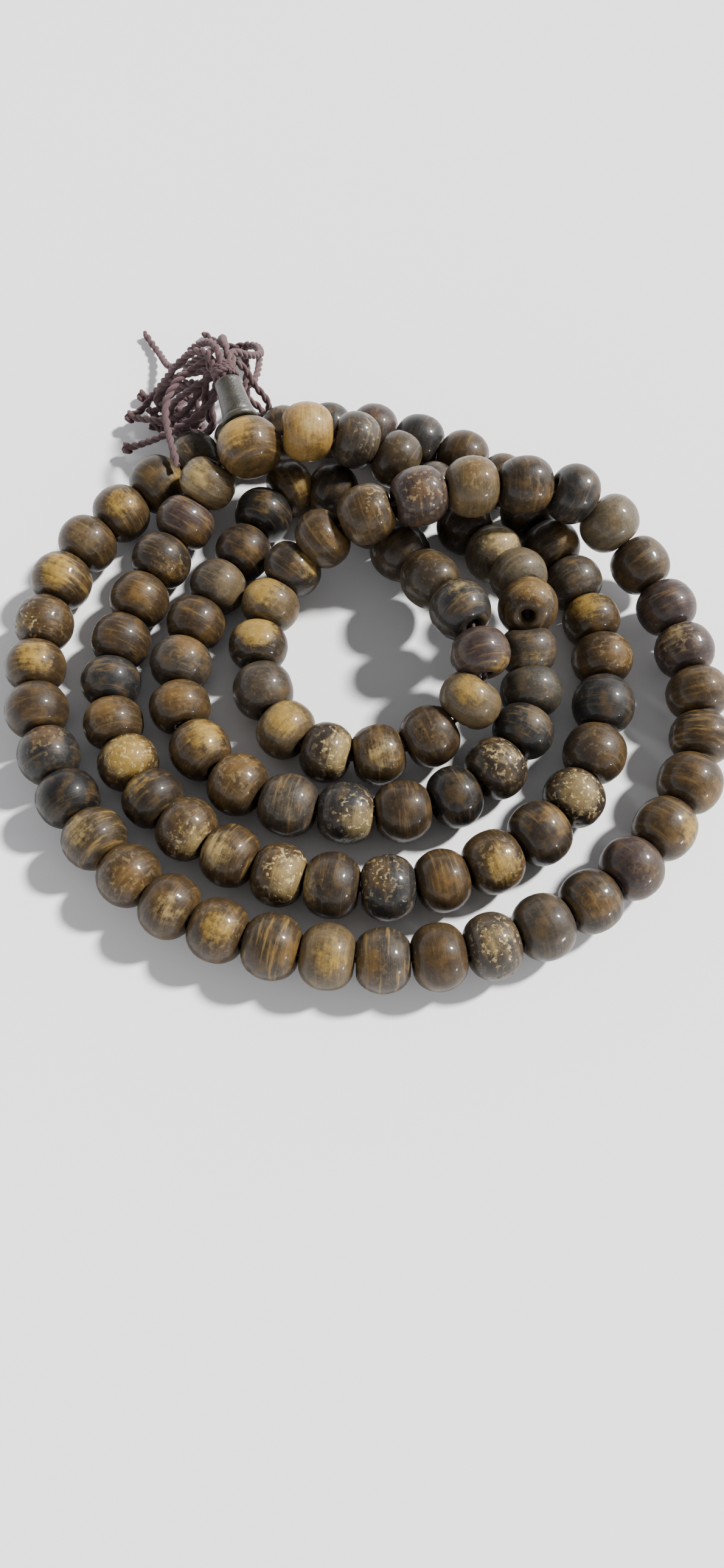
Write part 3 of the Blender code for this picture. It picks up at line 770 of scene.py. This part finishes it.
def smooth(points, count):
    """Evenly counted points on a smooth curve through the given ones."""
    ends = [points[0] * 2 - points[1], *points, points[-1] * 2 - points[-2]]
    result = []
    for n in range(count):
        t = n / (count - 1) * (len(points) - 1)
        k = min(int(t), len(points) - 2)
        t -= k
        a, b, c, d = ends[k : k + 4]
        curve = 2 * b + (c - a) * t + (2 * a - 5 * b + 4 * c - d) * t**2
        result.append((curve + (3 * b - a - 3 * c + d) * t**3) / 2)
    return result


def standing(axis, facing):
    """A rotation from Z to the axis, with X as near facing as can be."""
    z = Vector(axis).normalized()
    x = (facing - z * facing.dot(z)).normalized()
    return Matrix((x, z.cross(x), z)).transposed()


def patch_way(side, off):
    """The way to a patch: off degrees from the middle of the upper side, toward the given side."""
    side, off = math.radians(side), math.radians(off)
    top = Vector((0, -math.sin(LEAN), math.cos(LEAN)))
    away = Vector((0, math.cos(LEAN), math.sin(LEAN)))
    return top * math.cos(off) + (Vector((1, 0, 0)) * math.cos(side) + away * math.sin(side)) * math.sin(off)


# Materials.


def colour(code):
    """A screen colour such as #80613f as the renderer's own red, green, blue and alpha."""
    shares = [int(code[i : i + 2], 16) / 255 for i in (1, 3, 5)]
    return (*(c / 12.92 if c < 0.04045 else ((c + 0.055) / 1.055) ** 2.4 for c in shares), 1.0)


def bone_group():
    """Bone under dye: growth stripes, cloudy dye, fine fibres, pits, and one patch that is partly stain and
    partly painted light and shade.
    """
    tree = bpy.data.node_groups.new("dyed bone figure", "ShaderNodeTree")
    given, result = sockets(tree, [
        ("Grain", "Vector", None), ("Figure", "Vector", None), ("Dye", "Color", None),
        ("Patch Dye And Painted Light", "Color", None), ("Patch", "Float", -1.0),
    ], [("Colour", "Color", None), ("Roughness", "Float", None), ("Height", "Float", None)])
    value = {s.name: s for s in given.outputs if s.name}
    grain = value["Grain"]
    part = add(tree, "ShaderNodeSeparateXYZ", {0: grain})
    kind = add(tree, "ShaderNodeSeparateXYZ", {0: value["Figure"]})
    stripes, pits = Wire(tree, kind.outputs[0]), Wire(tree, kind.outputs[1])
    across = vector(
        tree, Wire(tree, part.outputs[0]) * LINE_STRETCH, Wire(tree, part.outputs[1]) * LINE_STRETCH,
        part.outputs[2],
    )
    lines = noise(tree, across, 1.9, 3.0, 0.6)
    fibres = noise(tree, across, 7.0, 3.0, 0.65)
    clouds = noise(tree, grain, 0.42, 3.0, 0.6)
    specks = noise(tree, grain, 2.4, 5.0, 0.75)
    near = Wire(tree, value["Patch"]).between(-0.45, 0.05) * 0.85 + 0.15
    dent = noise(tree, grain, 1.25, 2.0, 0.55).between(0.54, 0.66) * near
    edge = (noise(tree, grain, 0.75, 4.0, 0.65) - 0.5) * 0.62 + (lines - 0.5) * 0.30
    patch = (Wire(tree, value["Patch"]) + edge).between(-0.10, 0.22)

    light = (lines - 0.5) * (stripes * 2.1 + 0.35) + (fibres - 0.5) * 0.42
    light = light + (clouds - 0.5) * 1.7 + (specks - 0.5) * 2.3
    bright = add(tree, "ShaderNodeHueSaturation", {"Color": value["Dye"], "Value": light * 0.80 + 1.08})
    warm = mix(tree, (clouds - 0.5) * 1.8, bright.outputs[0], colour("#5e4722"))
    bands = (lines.between(0.54, 0.68) * stripes) * 0.62
    banded = mix(tree, bands, warm, colour("#7a6236"))
    # The patch's colour, made brighter: partly the bone's own stain, partly a painted glow on the lit side and
    # painted shade on the side away from the light.
    pale = add(tree, "ShaderNodeHueSaturation", {"Color": value["Patch Dye And Painted Light"], "Value": light * 0.45 + 1.30})
    solid = patch * (0.95 - pits * 0.5) * (0.62 + noise(tree, grain, 1.6, 3.0, 0.7) * 0.5)
    patched = mix(tree, solid, banded, pale.outputs[0])
    chipped = mix(tree, dent * pits * 0.9, patched, colour("#a8946a"))
    worn = mix(tree, specks.between(0.66, 0.76) * 0.35, chipped, colour("#a18a5e"))
    soiled = mix(tree, specks.between(0.38, 0.24) * 0.45, worn, colour("#17120e"))
    plug(tree, result.inputs["Colour"], soiled)
    plug(tree, result.inputs["Roughness"], 0.36 + fibres * 0.16 + dent * pits * 0.25 + patch * 0.05)
    height = lines * stripes * 0.5 + fibres * 0.16 + specks * 0.22 - dent * pits * 0.5
    plug(tree, result.inputs["Height"], height)
    return tree


def attribute(tree, name, output):
    return add(tree, "ShaderNodeAttribute", attribute_name=name).outputs[output]


def new_material(name, roughness=0.5):
    material = bpy.data.materials.new(name)
    material.use_nodes = True
    shader = material.node_tree.nodes["Principled BSDF"]
    shader.inputs["Roughness"].default_value = roughness
    return material, material.node_tree, shader


def bump(tree, shader, height, distance):
    """Fine relief too small to model."""
    node = add(tree, "ShaderNodeBump", {"Height": height, "Distance": distance})
    plug(tree, shader.inputs["Normal"], node.outputs[0])


def bone_material(name, group):
    material, tree, shader = new_material(name)
    figure = add(tree, "ShaderNodeGroup", node_tree=group)
    for socket, source, output in (
        ("Grain", "grain", "Vector"), ("Figure", "figure", "Vector"), ("Dye", "dye", "Color"),
        ("Patch Dye And Painted Light", "patch_dye_and_painted_light", "Color"), ("Patch", "patch", "Fac"),
    ):
        plug(tree, figure.inputs[socket], attribute(tree, source, output))
    plug(tree, shader.inputs["Base Color"], figure.outputs["Colour"])
    plug(tree, shader.inputs["Roughness"], figure.outputs["Roughness"])
    shader.inputs["Specular IOR Level"].default_value = 0.16
    shader.inputs["Coat Weight"].default_value = 0.22
    shader.inputs["Coat Roughness"].default_value = 0.09
    bump(tree, shader, figure.outputs["Height"], 0.00012)
    return material


def cord_material(name, tint):
    """Twisted thread: fibres along each ply, and blotches of lighter and darker colour."""
    material, tree, shader = new_material(name, 0.85)
    place = add(tree, "ShaderNodeTexCoord").outputs["Object"]
    around = Wire(tree, attribute(tree, "around", "Fac"))
    length = Wire(tree, attribute(tree, "along", "Fac"))
    turn = around * math.tau
    thread = vector(tree, turn.math("COSINE") * 2.0, turn.math("SINE") * 2.0, length * 0.55)
    fibres = noise(tree, thread, 2.6, 4.0, 0.7)
    patches = noise(tree, place, 260.0, 2.0)
    value = (fibres - 0.5) * 1.3 + (patches - 0.5) * 0.7 + 1.0
    faded = add(tree, "ShaderNodeHueSaturation", {"Color": (*tint, 1.0), "Value": value})
    plug(tree, shader.inputs["Base Color"], faded.outputs[0])
    shader.inputs["Sheen Weight"].default_value = 0.2
    shader.inputs["Sheen Roughness"].default_value = 0.5
    shader.inputs["Sheen Tint"].default_value = (0.9, 0.8, 0.82, 1.0)
    bump(tree, shader, fibres, 0.0001)
    return material


def tower_material():
    """Grey-green dyed bone, cloudy and flecked with paler specks."""
    material, tree, shader = new_material("grey_green_tower_bone", 0.42)
    place = add(tree, "ShaderNodeTexCoord").outputs["Object"]
    clouds = noise(tree, place, 380.0, 3.0, 0.6)
    specks = noise(tree, place, 2200.0, 3.0, 0.7)
    base = mix(tree, clouds.between(0.35, 0.65), colour("#28261f"), colour("#3d3a2f"))
    spotted = mix(tree, specks.between(0.60, 0.74) * 0.5, base, colour("#615a47"))
    plug(tree, shader.inputs["Base Color"], spotted)
    shader.inputs["Coat Weight"].default_value = 0.2
    shader.inputs["Coat Roughness"].default_value = 0.25
    bump(tree, shader, specks + clouds, 0.0001)
    return material


def floor_material(tint):
    material, tree, shader = new_material("pale_table", 0.75)
    place = add(tree, "ShaderNodeTexCoord").outputs["Object"]
    clouds = noise(tree, place, 9.0, 2.0)
    node = add(tree, "ShaderNodeHueSaturation", {"Color": (*tint, 1.0), "Value": clouds * 0.04 + 0.98})
    plug(tree, shader.inputs["Base Color"], node.outputs[0])
    shader.inputs["Specular IOR Level"].default_value = 0.2
    return material


# The operators: one for each piece or group of like pieces.


class MALA_OT_stage(bpy.types.Operator):
    """Lays the pale table, the lights and the camera"""

    bl_idname = "mala.stage"
    bl_label = "Stage"

    KEY_PLACE = Vector((0.66, 0.31, 0.68))  # right of the beads, above and a little behind, in metres
    LOW_PLACE = Vector((0.46, -0.39, 0.06))  # a small glint from the front, near the table

    def execute(self, context):
        settings = context.scene.mala_stage
        bpy.ops.mesh.primitive_plane_add(size=3.0, location=(0, 0, -0.00002))
        table = context.object
        table.name = "pale_table_top"
        table.data.transform(table.matrix_world)
        table.matrix_world = Matrix.Identity(4)
        table.data.materials.append(floor_material(settings.floor))

        key = bpy.data.lights.new("key_light", "SUN")
        key.energy = settings.key
        key.angle = settings.softness
        key.color = (1.0, 0.985, 0.96)
        self.hang(context, key, self.KEY_PLACE)
        low = bpy.data.lights.new("low_light", "AREA")
        low.energy = 1.2
        low.size = 0.05
        low.diffuse_factor = 0.0
        self.hang(context, low, self.LOW_PLACE)

        world = bpy.data.worlds.new("soft_room")
        world.use_nodes = True
        background = world.node_tree.nodes["Background"]
        background.inputs["Color"].default_value = (0.97, 0.97, 1.0, 1.0)
        # Most of the soft light comes in low from all sides, so the gaps between the turns stay dark.
        sky = add(world.node_tree, "ShaderNodeTexCoord").outputs["Generated"]
        height = Wire(world.node_tree, add(world.node_tree, "ShaderNodeSeparateXYZ", {0: sky}).outputs[2])
        strength = (1.0 - height.between(0.1, 0.75) * 0.9) * settings.fill
        plug(world.node_tree, background.inputs["Strength"], strength)
        context.scene.world = world

        camera = bpy.data.cameras.new("camera")
        camera.lens = 25.0
        camera.clip_start = 0.01
        obj = bpy.data.objects.new("camera", camera)
        obj.location = Vector((-0.5, -91.0, 158.9)) * MM
        obj.rotation_euler = (LEAN, 0.0, 0.0)
        context.scene.collection.objects.link(obj)
        context.scene.camera = obj
        return {"FINISHED"}

    def hang(self, context, light, place):
        """A light at its place, aimed at the middle of the beads."""
        obj = bpy.data.objects.new(light.name, light)
        obj.location = place
        obj.rotation_euler = place.to_track_quat("Z", "Y").to_euler()
        context.scene.collection.objects.link(obj)


class MALA_OT_tassel(bpy.types.Operator):
    """Makes the limp twisted cords of the tassel"""

    bl_idname = "mala.tassel"
    bl_label = "Tassel Cords"

    INSIDE = 3.2  # how far up inside the whipping a strand begins
    STRAIGHT = 1.6  # how far it runs straight out of the whipping
    STEPS = 5  # points of the smooth line for each point of a path
    TREFOIL = 0.26  # how near an end knot's middle its cord passes
    TREFOIL_DEPTH = 1.6  # how far the cord rises and sinks at the crossings, against that
    KNOT_BACK = 0.6  # how far an end knot sits back from the cord's end
    KNOT_CORD = 0.42  # radius of the cord in an end knot, as a share of the cord's diameter

    def execute(self, context):
        settings = context.scene.mala_cords
        material = cord_material("mauve_tassel_cord", settings.tassel_colour)
        tree = cord_tree()
        right = UP_TOWER.cross(Vector((0, 0, 1))).normalized()
        over = right.cross(UP_TOWER)
        for name, (angle, points) in STRANDS.items():
            turn = math.radians(angle)
            out = (right * math.cos(turn) + over * math.sin(turn)) * STRAND_RING
            face = GURU + UP_TOWER * (KNOT_START + KNOT_LENGTH + STRAND_CLEAR) + out
            inside = face - UP_TOWER * self.INSIDE - out * 0.45
            path = [inside, face - out * 0.1, face + UP_TOWER * self.STRAIGHT, *(Vector(p) for p in points)]
            knots = [self.end_knot(name, path, settings, tree, material)] if name in END_KNOTS else []
            piece = self.lay(f"{name}_cord", path, settings, tree, material, knots)
            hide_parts(name)
        for name, points in CURLS.items():
            self.lay(f"{name}_cord", [Vector(p) for p in points], settings, tree, material, [])
        return {"FINISHED"}

    def lay(self, name, path, settings, tree, material, knots):
        """One cord of the tassel along its path."""
        line = smooth(path, self.STEPS * len(path))
        piece = grown(curve_piece(name, line), tree, {
            "Cord Radius": settings.tassel / 2, "Lay": settings.tassel * settings.lay,
            "Step": 0.00035, "Sides": 9, "Material": material,
        })
        settle(piece, "guru", "mauve_brown_cord")
        length = sum((b - a).length for a, b in zip(line, line[1:])) * MM
        line[0] * MM
        [p * MM for p in line]
        return piece

    def end_knot(self, name, path, settings, tree, material):
        """A small overhand knot, a trefoil of the same cord, round a strand's end."""
        heading = standing(path[-1] - path[-2], Vector((0, 0, 1)))
        centre = path[-1] - (path[-1] - path[-2]).normalized() * self.KNOT_BACK
        points = []
        for n in range(48):
            t = n / 48 * math.tau
            trefoil = Vector((math.sin(t) + 2 * math.sin(2 * t), math.cos(t) - 2 * math.cos(2 * t),
                              -self.TREFOIL_DEPTH * math.sin(3 * t)))
            points.append(centre + heading @ (trefoil * self.TREFOIL))
        piece = grown(curve_piece(f"{name}_end_knot", points, closed=True), tree, {
            "Cord Radius": settings.tassel * self.KNOT_CORD, "Lay": settings.tassel * settings.lay,
            "Step": 0.0003, "Sides": 8, "Material": material,
        })
        return settle(piece, "guru", "mauve_brown_cord")


class MALA_OT_string(bpy.types.Operator):
    """Makes the waxed string through all the beads"""

    bl_idname = "mala.string"
    bl_label = "String"

    CORNER = 0.12  # share of the way to the next gap that a corner's rounding takes

    def execute(self, context):
        settings = context.scene.mala_cords
        line = [p for i in range(BEADS + 1) for p in self.bend(i)]
        piece = grown(curve_piece("waxed_string", line, closed=True), cord_tree(), {
            "Cord Radius": settings.string / 2, "Lay": settings.string * settings.lay,
            "Step": 0.0005, "Sides": 6,
            "Material": cord_material("waxed_brown_string", settings.string_colour),
        })
        settle(piece, "strand", "brown_cord", "string_cord")
        return {"FINISHED"}

    def bend(self, i):
        """Three points that round the string's corner at a gap."""
        here, before, after = GAPS[i], GAPS[i - 1], GAPS[(i + 1) % len(GAPS)]
        near, far = here.lerp(before, self.CORNER), here.lerp(after, self.CORNER)
        return near, (here * 2 + near + far) / 4, far


class MALA_OT_beads(bpy.types.Operator):
    """Turns the 108 bone beads and threads them on the string"""

    bl_idname = "mala.beads"
    bl_label = "Bone Beads"

    SHORTEST = 3.7  # half of a bead's length at least
    SMALL = 0.96  # how much of the usual radius a small bead has
    BEND_SHARE = 0.6  # how much of the room that a bend takes a bead gives up
    END_GAP = 0.03  # between a bead's end and the middle of the gap

    def execute(self, context):
        settings = context.scene.mala_beads
        tree = bead_tree()
        material = bone_material("stained_bone", bone_group())
        draw = random.Random(108)
        for number in range(1, BEADS + 1):
            self.make(settings, tree, material, number, draw.uniform(-1, 1))
        # Every bead of the joined runs is made singly here, and the runs are hidden.
        runs = [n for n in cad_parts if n.startswith("bead_run_")]
        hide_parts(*runs)
        return {"FINISHED"}

    def make(self, settings, tree, material, number, size):
        dye, stripes, pits, *rest = LOOKS[number]
        patch, side, off, spread = rest or ("brown", 0, 0, 0)
        start, end = GAPS[number - 1], GAPS[number]
        axis = (end - start).normalized()
        radius = settings.diameter / 2 / MM * (1 + settings.spread * (size - 1) / 2)
        if number in SMALL_BEADS:
            radius *= self.SMALL
        rim = settings.end_diameter / 2 / MM
        before = axis.angle(start - GAPS[number - 2])
        after = axis.angle((GAPS[number + 1] if number < BEADS else GAPS[0]) - end)
        room = (math.tan(before / 2) + math.tan(after / 2)) * rim
        half = max(((end - start).length - room * self.BEND_SHARE) / 2 - self.END_GAP, self.SHORTEST)
        middle = (start + end) / 2
        middle.z -= BEAD_LOW - radius
        axis = Vector(BEAD_TILTS.get(number, axis))
        turned = standing(axis, UPPER_SIDE)
        piece = grown(empty_piece(f"bone_bead_{number:03d}"), tree, {
            "Radius": radius * MM, "Half Length": half * MM, "End Radius": rim * MM,
            "Bore Radius": settings.bore / 2, "Around": settings.around, "Rows": settings.rows,
            "Groove Depth": settings.groove, "Pit Depth": settings.pit, "Seed": float(number),
            "Dye": colour(DYES[dye]), "Patch Dye And Painted Light": colour(DYES[patch]),
            "Patch Toward": turned.transposed() @ patch_way(side, off), "Patch Spread": math.radians(spread),
            "Stripes": stripes, "Pits": pits, "Material": material,
        })
        piece.data.transform(Matrix.Translation(middle * MM) @ turned.to_4x4())
        node = f"bead_{number:03d}"
        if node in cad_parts:
            settle(piece, node, "dyed_bone", node)
        else:
            settle(piece, "strand", "dyed_bone")


class MALA_OT_guru(bpy.types.Operator):
    """Turns the large guru bead, its tower and the whipping above it"""

    bl_idname = "mala.guru"
    bl_label = "Guru Bead and Tower"

    RADIUS = 5.5  # of the guru bead
    RIM = 1.9  # radius of its flat ends
    TURNS = 4.4  # of the whipping's thread
    TURN_STEPS = 30
    THREAD = 0.42  # radius of that thread

    def execute(self, context):
        settings = context.scene.mala_beads
        self.upright = standing(UP_TOWER, UPPER_SIDE)
        self.thread = cord_material("mauve_whipping_thread", context.scene.mala_cords.tassel_colour)
        self.guru_bead(settings)
        self.tower()
        self.whipping()
        self.stem()
        return {"FINISHED"}

    def stand(self, obj, height):
        """Moves a piece made about the origin to its height above the guru bead's middle."""
        obj.data.transform(self.place(height))

    def place(self, height):
        return Matrix.Translation((GURU + UP_TOWER * height) * MM) @ self.upright.to_4x4()

    def guru_bead(self, settings):
        guru = grown(empty_piece("guru_bone_bead"), bead_tree(), {
            "Radius": self.RADIUS * MM, "Half Length": GURU_HALF * MM, "End Radius": self.RIM * MM,
            "Bore Radius": 0.1 * MM, "Around": 84, "Rows": 60,
            "Groove Depth": settings.groove, "Pit Depth": settings.pit,
            "Seed": 7.0, "Dye": colour("#45351f"), "Patch Dye And Painted Light": colour("#94763a"),
            "Patch Toward": self.upright.transposed() @ patch_way(140, 40), "Patch Spread": math.radians(38),
            "Stripes": 0.8, "Pits": 0.15, "Material": bpy.data.materials["stained_bone"],
        })
        self.stand(guru, 0.0)
        settle(guru, "guru", "amber_bone", "guru_bead")

    def tower(self):
        tower = self.turned("guru_tower_bone", self.tower_profile(), 64)
        tower.data.materials.append(tower_material())
        self.stand(tower, TOWER_START)
        settle(tower, "tower", "grey_green_tower", "guru_tower")

    def whipping(self):
        """A thread wound round a core with sunk ends."""
        base = self.place(KNOT_START)
        winding = []
        for n in range(int(self.TURNS * self.TURN_STEPS) + 1):
            angle = n / self.TURN_STEPS * math.tau
            share = n / (self.TURNS * self.TURN_STEPS)
            radius = KNOT_RADIUS - self.THREAD + 0.05 * math.sin(angle * 0.37)
            height = self.THREAD + share * (KNOT_LENGTH - self.THREAD * 2)
            point = Vector((radius * math.cos(angle), radius * math.sin(angle), height))
            winding.append((base @ (point * MM)) / MM)
        wound = grown(curve_piece("winding", winding), cord_tree(), {
            "Cord Radius": self.THREAD * MM, "Lay": 0.0016, "Step": 0.0003, "Sides": 7,
            "Material": self.thread,
        })
        core = self.turned("tassel_whipping", [
            (0.0, 2.9), (1.2, 2.85), (1.75, 2.5), (1.8, 1.5), (1.75, 0.5), (1.2, 0.15), (0.0, 0.1)], 40)
        core.data.materials.append(self.thread)
        core.data.transform(base)
        self.join(core, wound)
        settle(core, "guru", "mauve_brown_cord", "tassel_knot")

    def stem(self):
        """The cord that runs from the guru bead through the tower into the whipping."""
        line = [GURU + UP_TOWER * 1.0, GURU + UP_TOWER * (KNOT_START + 0.3)]
        stem = grown(curve_piece("tower_stem_cord", line), cord_tree(), {
            "Cord Radius": 0.0007, "Lay": 0.0036, "Step": 0.0004, "Sides": 8, "Material": self.thread,
        })
        settle(stem, "guru", "mauve_brown_cord", "tower_stem")

    def tower_profile(self):
        """The tower's outline as (radius, height), down its outer side and up the bore."""
        top = TOWER_LENGTH
        outline = [(TOWER_BORE, top), (2.0, top), (2.28, top - 0.12), (2.4, top - 0.4), (2.36, top - 0.75)]
        for n in range(1, 12):
            share = n / 12
            outline.append((2.36 + 0.5 * share**1.5, (top - 0.75) * (1 - share) + 1.5 * share))
        outline += [(2.82, 1.42), (2.76, 1.3), (2.88, 1.18), (3.1, 1.0), (3.2, 0.72), (3.17, 0.4)]
        return outline + [(3.0, 0.12), (2.7, 0.0), (TOWER_BORE, 0.0)]

    def turned(self, name, profile, steps):
        """A profile of (radius, height) in millimetres turned about Z into a closed piece."""
        mesh = bpy.data.meshes.new(name)
        edges = [(i, (i + 1) % len(profile)) for i in range(len(profile))]
        if profile[0][0] == 0.0:
            edges = edges[:-1]
        mesh.from_pydata([(r * MM, 0.0, z * MM) for r, z in profile], edges, [])
        obj = bpy.data.objects.new(name, mesh)
        bpy.context.scene.collection.objects.link(obj)
        screw = obj.modifiers.new("turn", "SCREW")
        screw.steps = screw.render_steps = steps
        screw.use_merge_vertices = True
        screw.merge_threshold = 0.000005
        graph = bpy.context.evaluated_depsgraph_get()
        obj.data = bpy.data.meshes.new_from_object(obj.evaluated_get(graph))
        obj.modifiers.clear()
        tidy = bmesh.new()
        tidy.from_mesh(obj.data)
        bmesh.ops.remove_doubles(tidy, verts=tidy.verts, dist=0.000005)
        bmesh.ops.recalc_face_normals(tidy, faces=tidy.faces)
        tidy.to_mesh(obj.data)
        tidy.free()
        obj.data.shade_smooth()
        obj.data.set_sharp_from_angle(angle=math.radians(50))
        return obj

    def join(self, first, second):
        """Adds the second piece's faces to the first."""
        with bpy.context.temp_override(active_object=first, selected_editable_objects=[first, second]):
            bpy.ops.object.join()


OPERATORS = (MALA_OT_stage, MALA_OT_tassel, MALA_OT_string, MALA_OT_beads, MALA_OT_guru)


class MALA_PT_panel(bpy.types.Panel):
    """The mala's settings and pieces"""

    bl_idname = "MALA_PT_panel"
    bl_label = "Mala Prayer Beads"
    bl_space_type = "VIEW_3D"
    bl_region_type = "UI"
    bl_category = "Mala"

    def draw(self, context):
        for group in (context.scene.mala_beads, context.scene.mala_cords, context.scene.mala_stage):
            box = self.layout.box()
            for name in group.__annotations__:
                box.prop(group, name)
        for operator in OPERATORS:
            self.layout.operator(operator.bl_idname)


SETTINGS = {"mala_beads": MalaBeadSettings, "mala_cords": MalaCordSettings, "mala_stage": MalaStageSettings}
CLASSES = (*SETTINGS.values(), *OPERATORS, MALA_PT_panel)


def register():
    for cls in CLASSES:
        bpy.utils.register_class(cls)
    for name, cls in SETTINGS.items():
        setattr(bpy.types.Scene, name, PointerProperty(type=cls))


def unregister():
    for name in SETTINGS:
        delattr(bpy.types.Scene, name)
    for cls in reversed(CLASSES):
        bpy.utils.unregister_class(cls)


def main():
    register()
    bpy.ops.mala.stage()
    bpy.ops.mala.tassel()
    bpy.ops.mala.string()
    bpy.ops.mala.beads()
    bpy.ops.mala.guru()


if __name__ == "__main__":
    main()
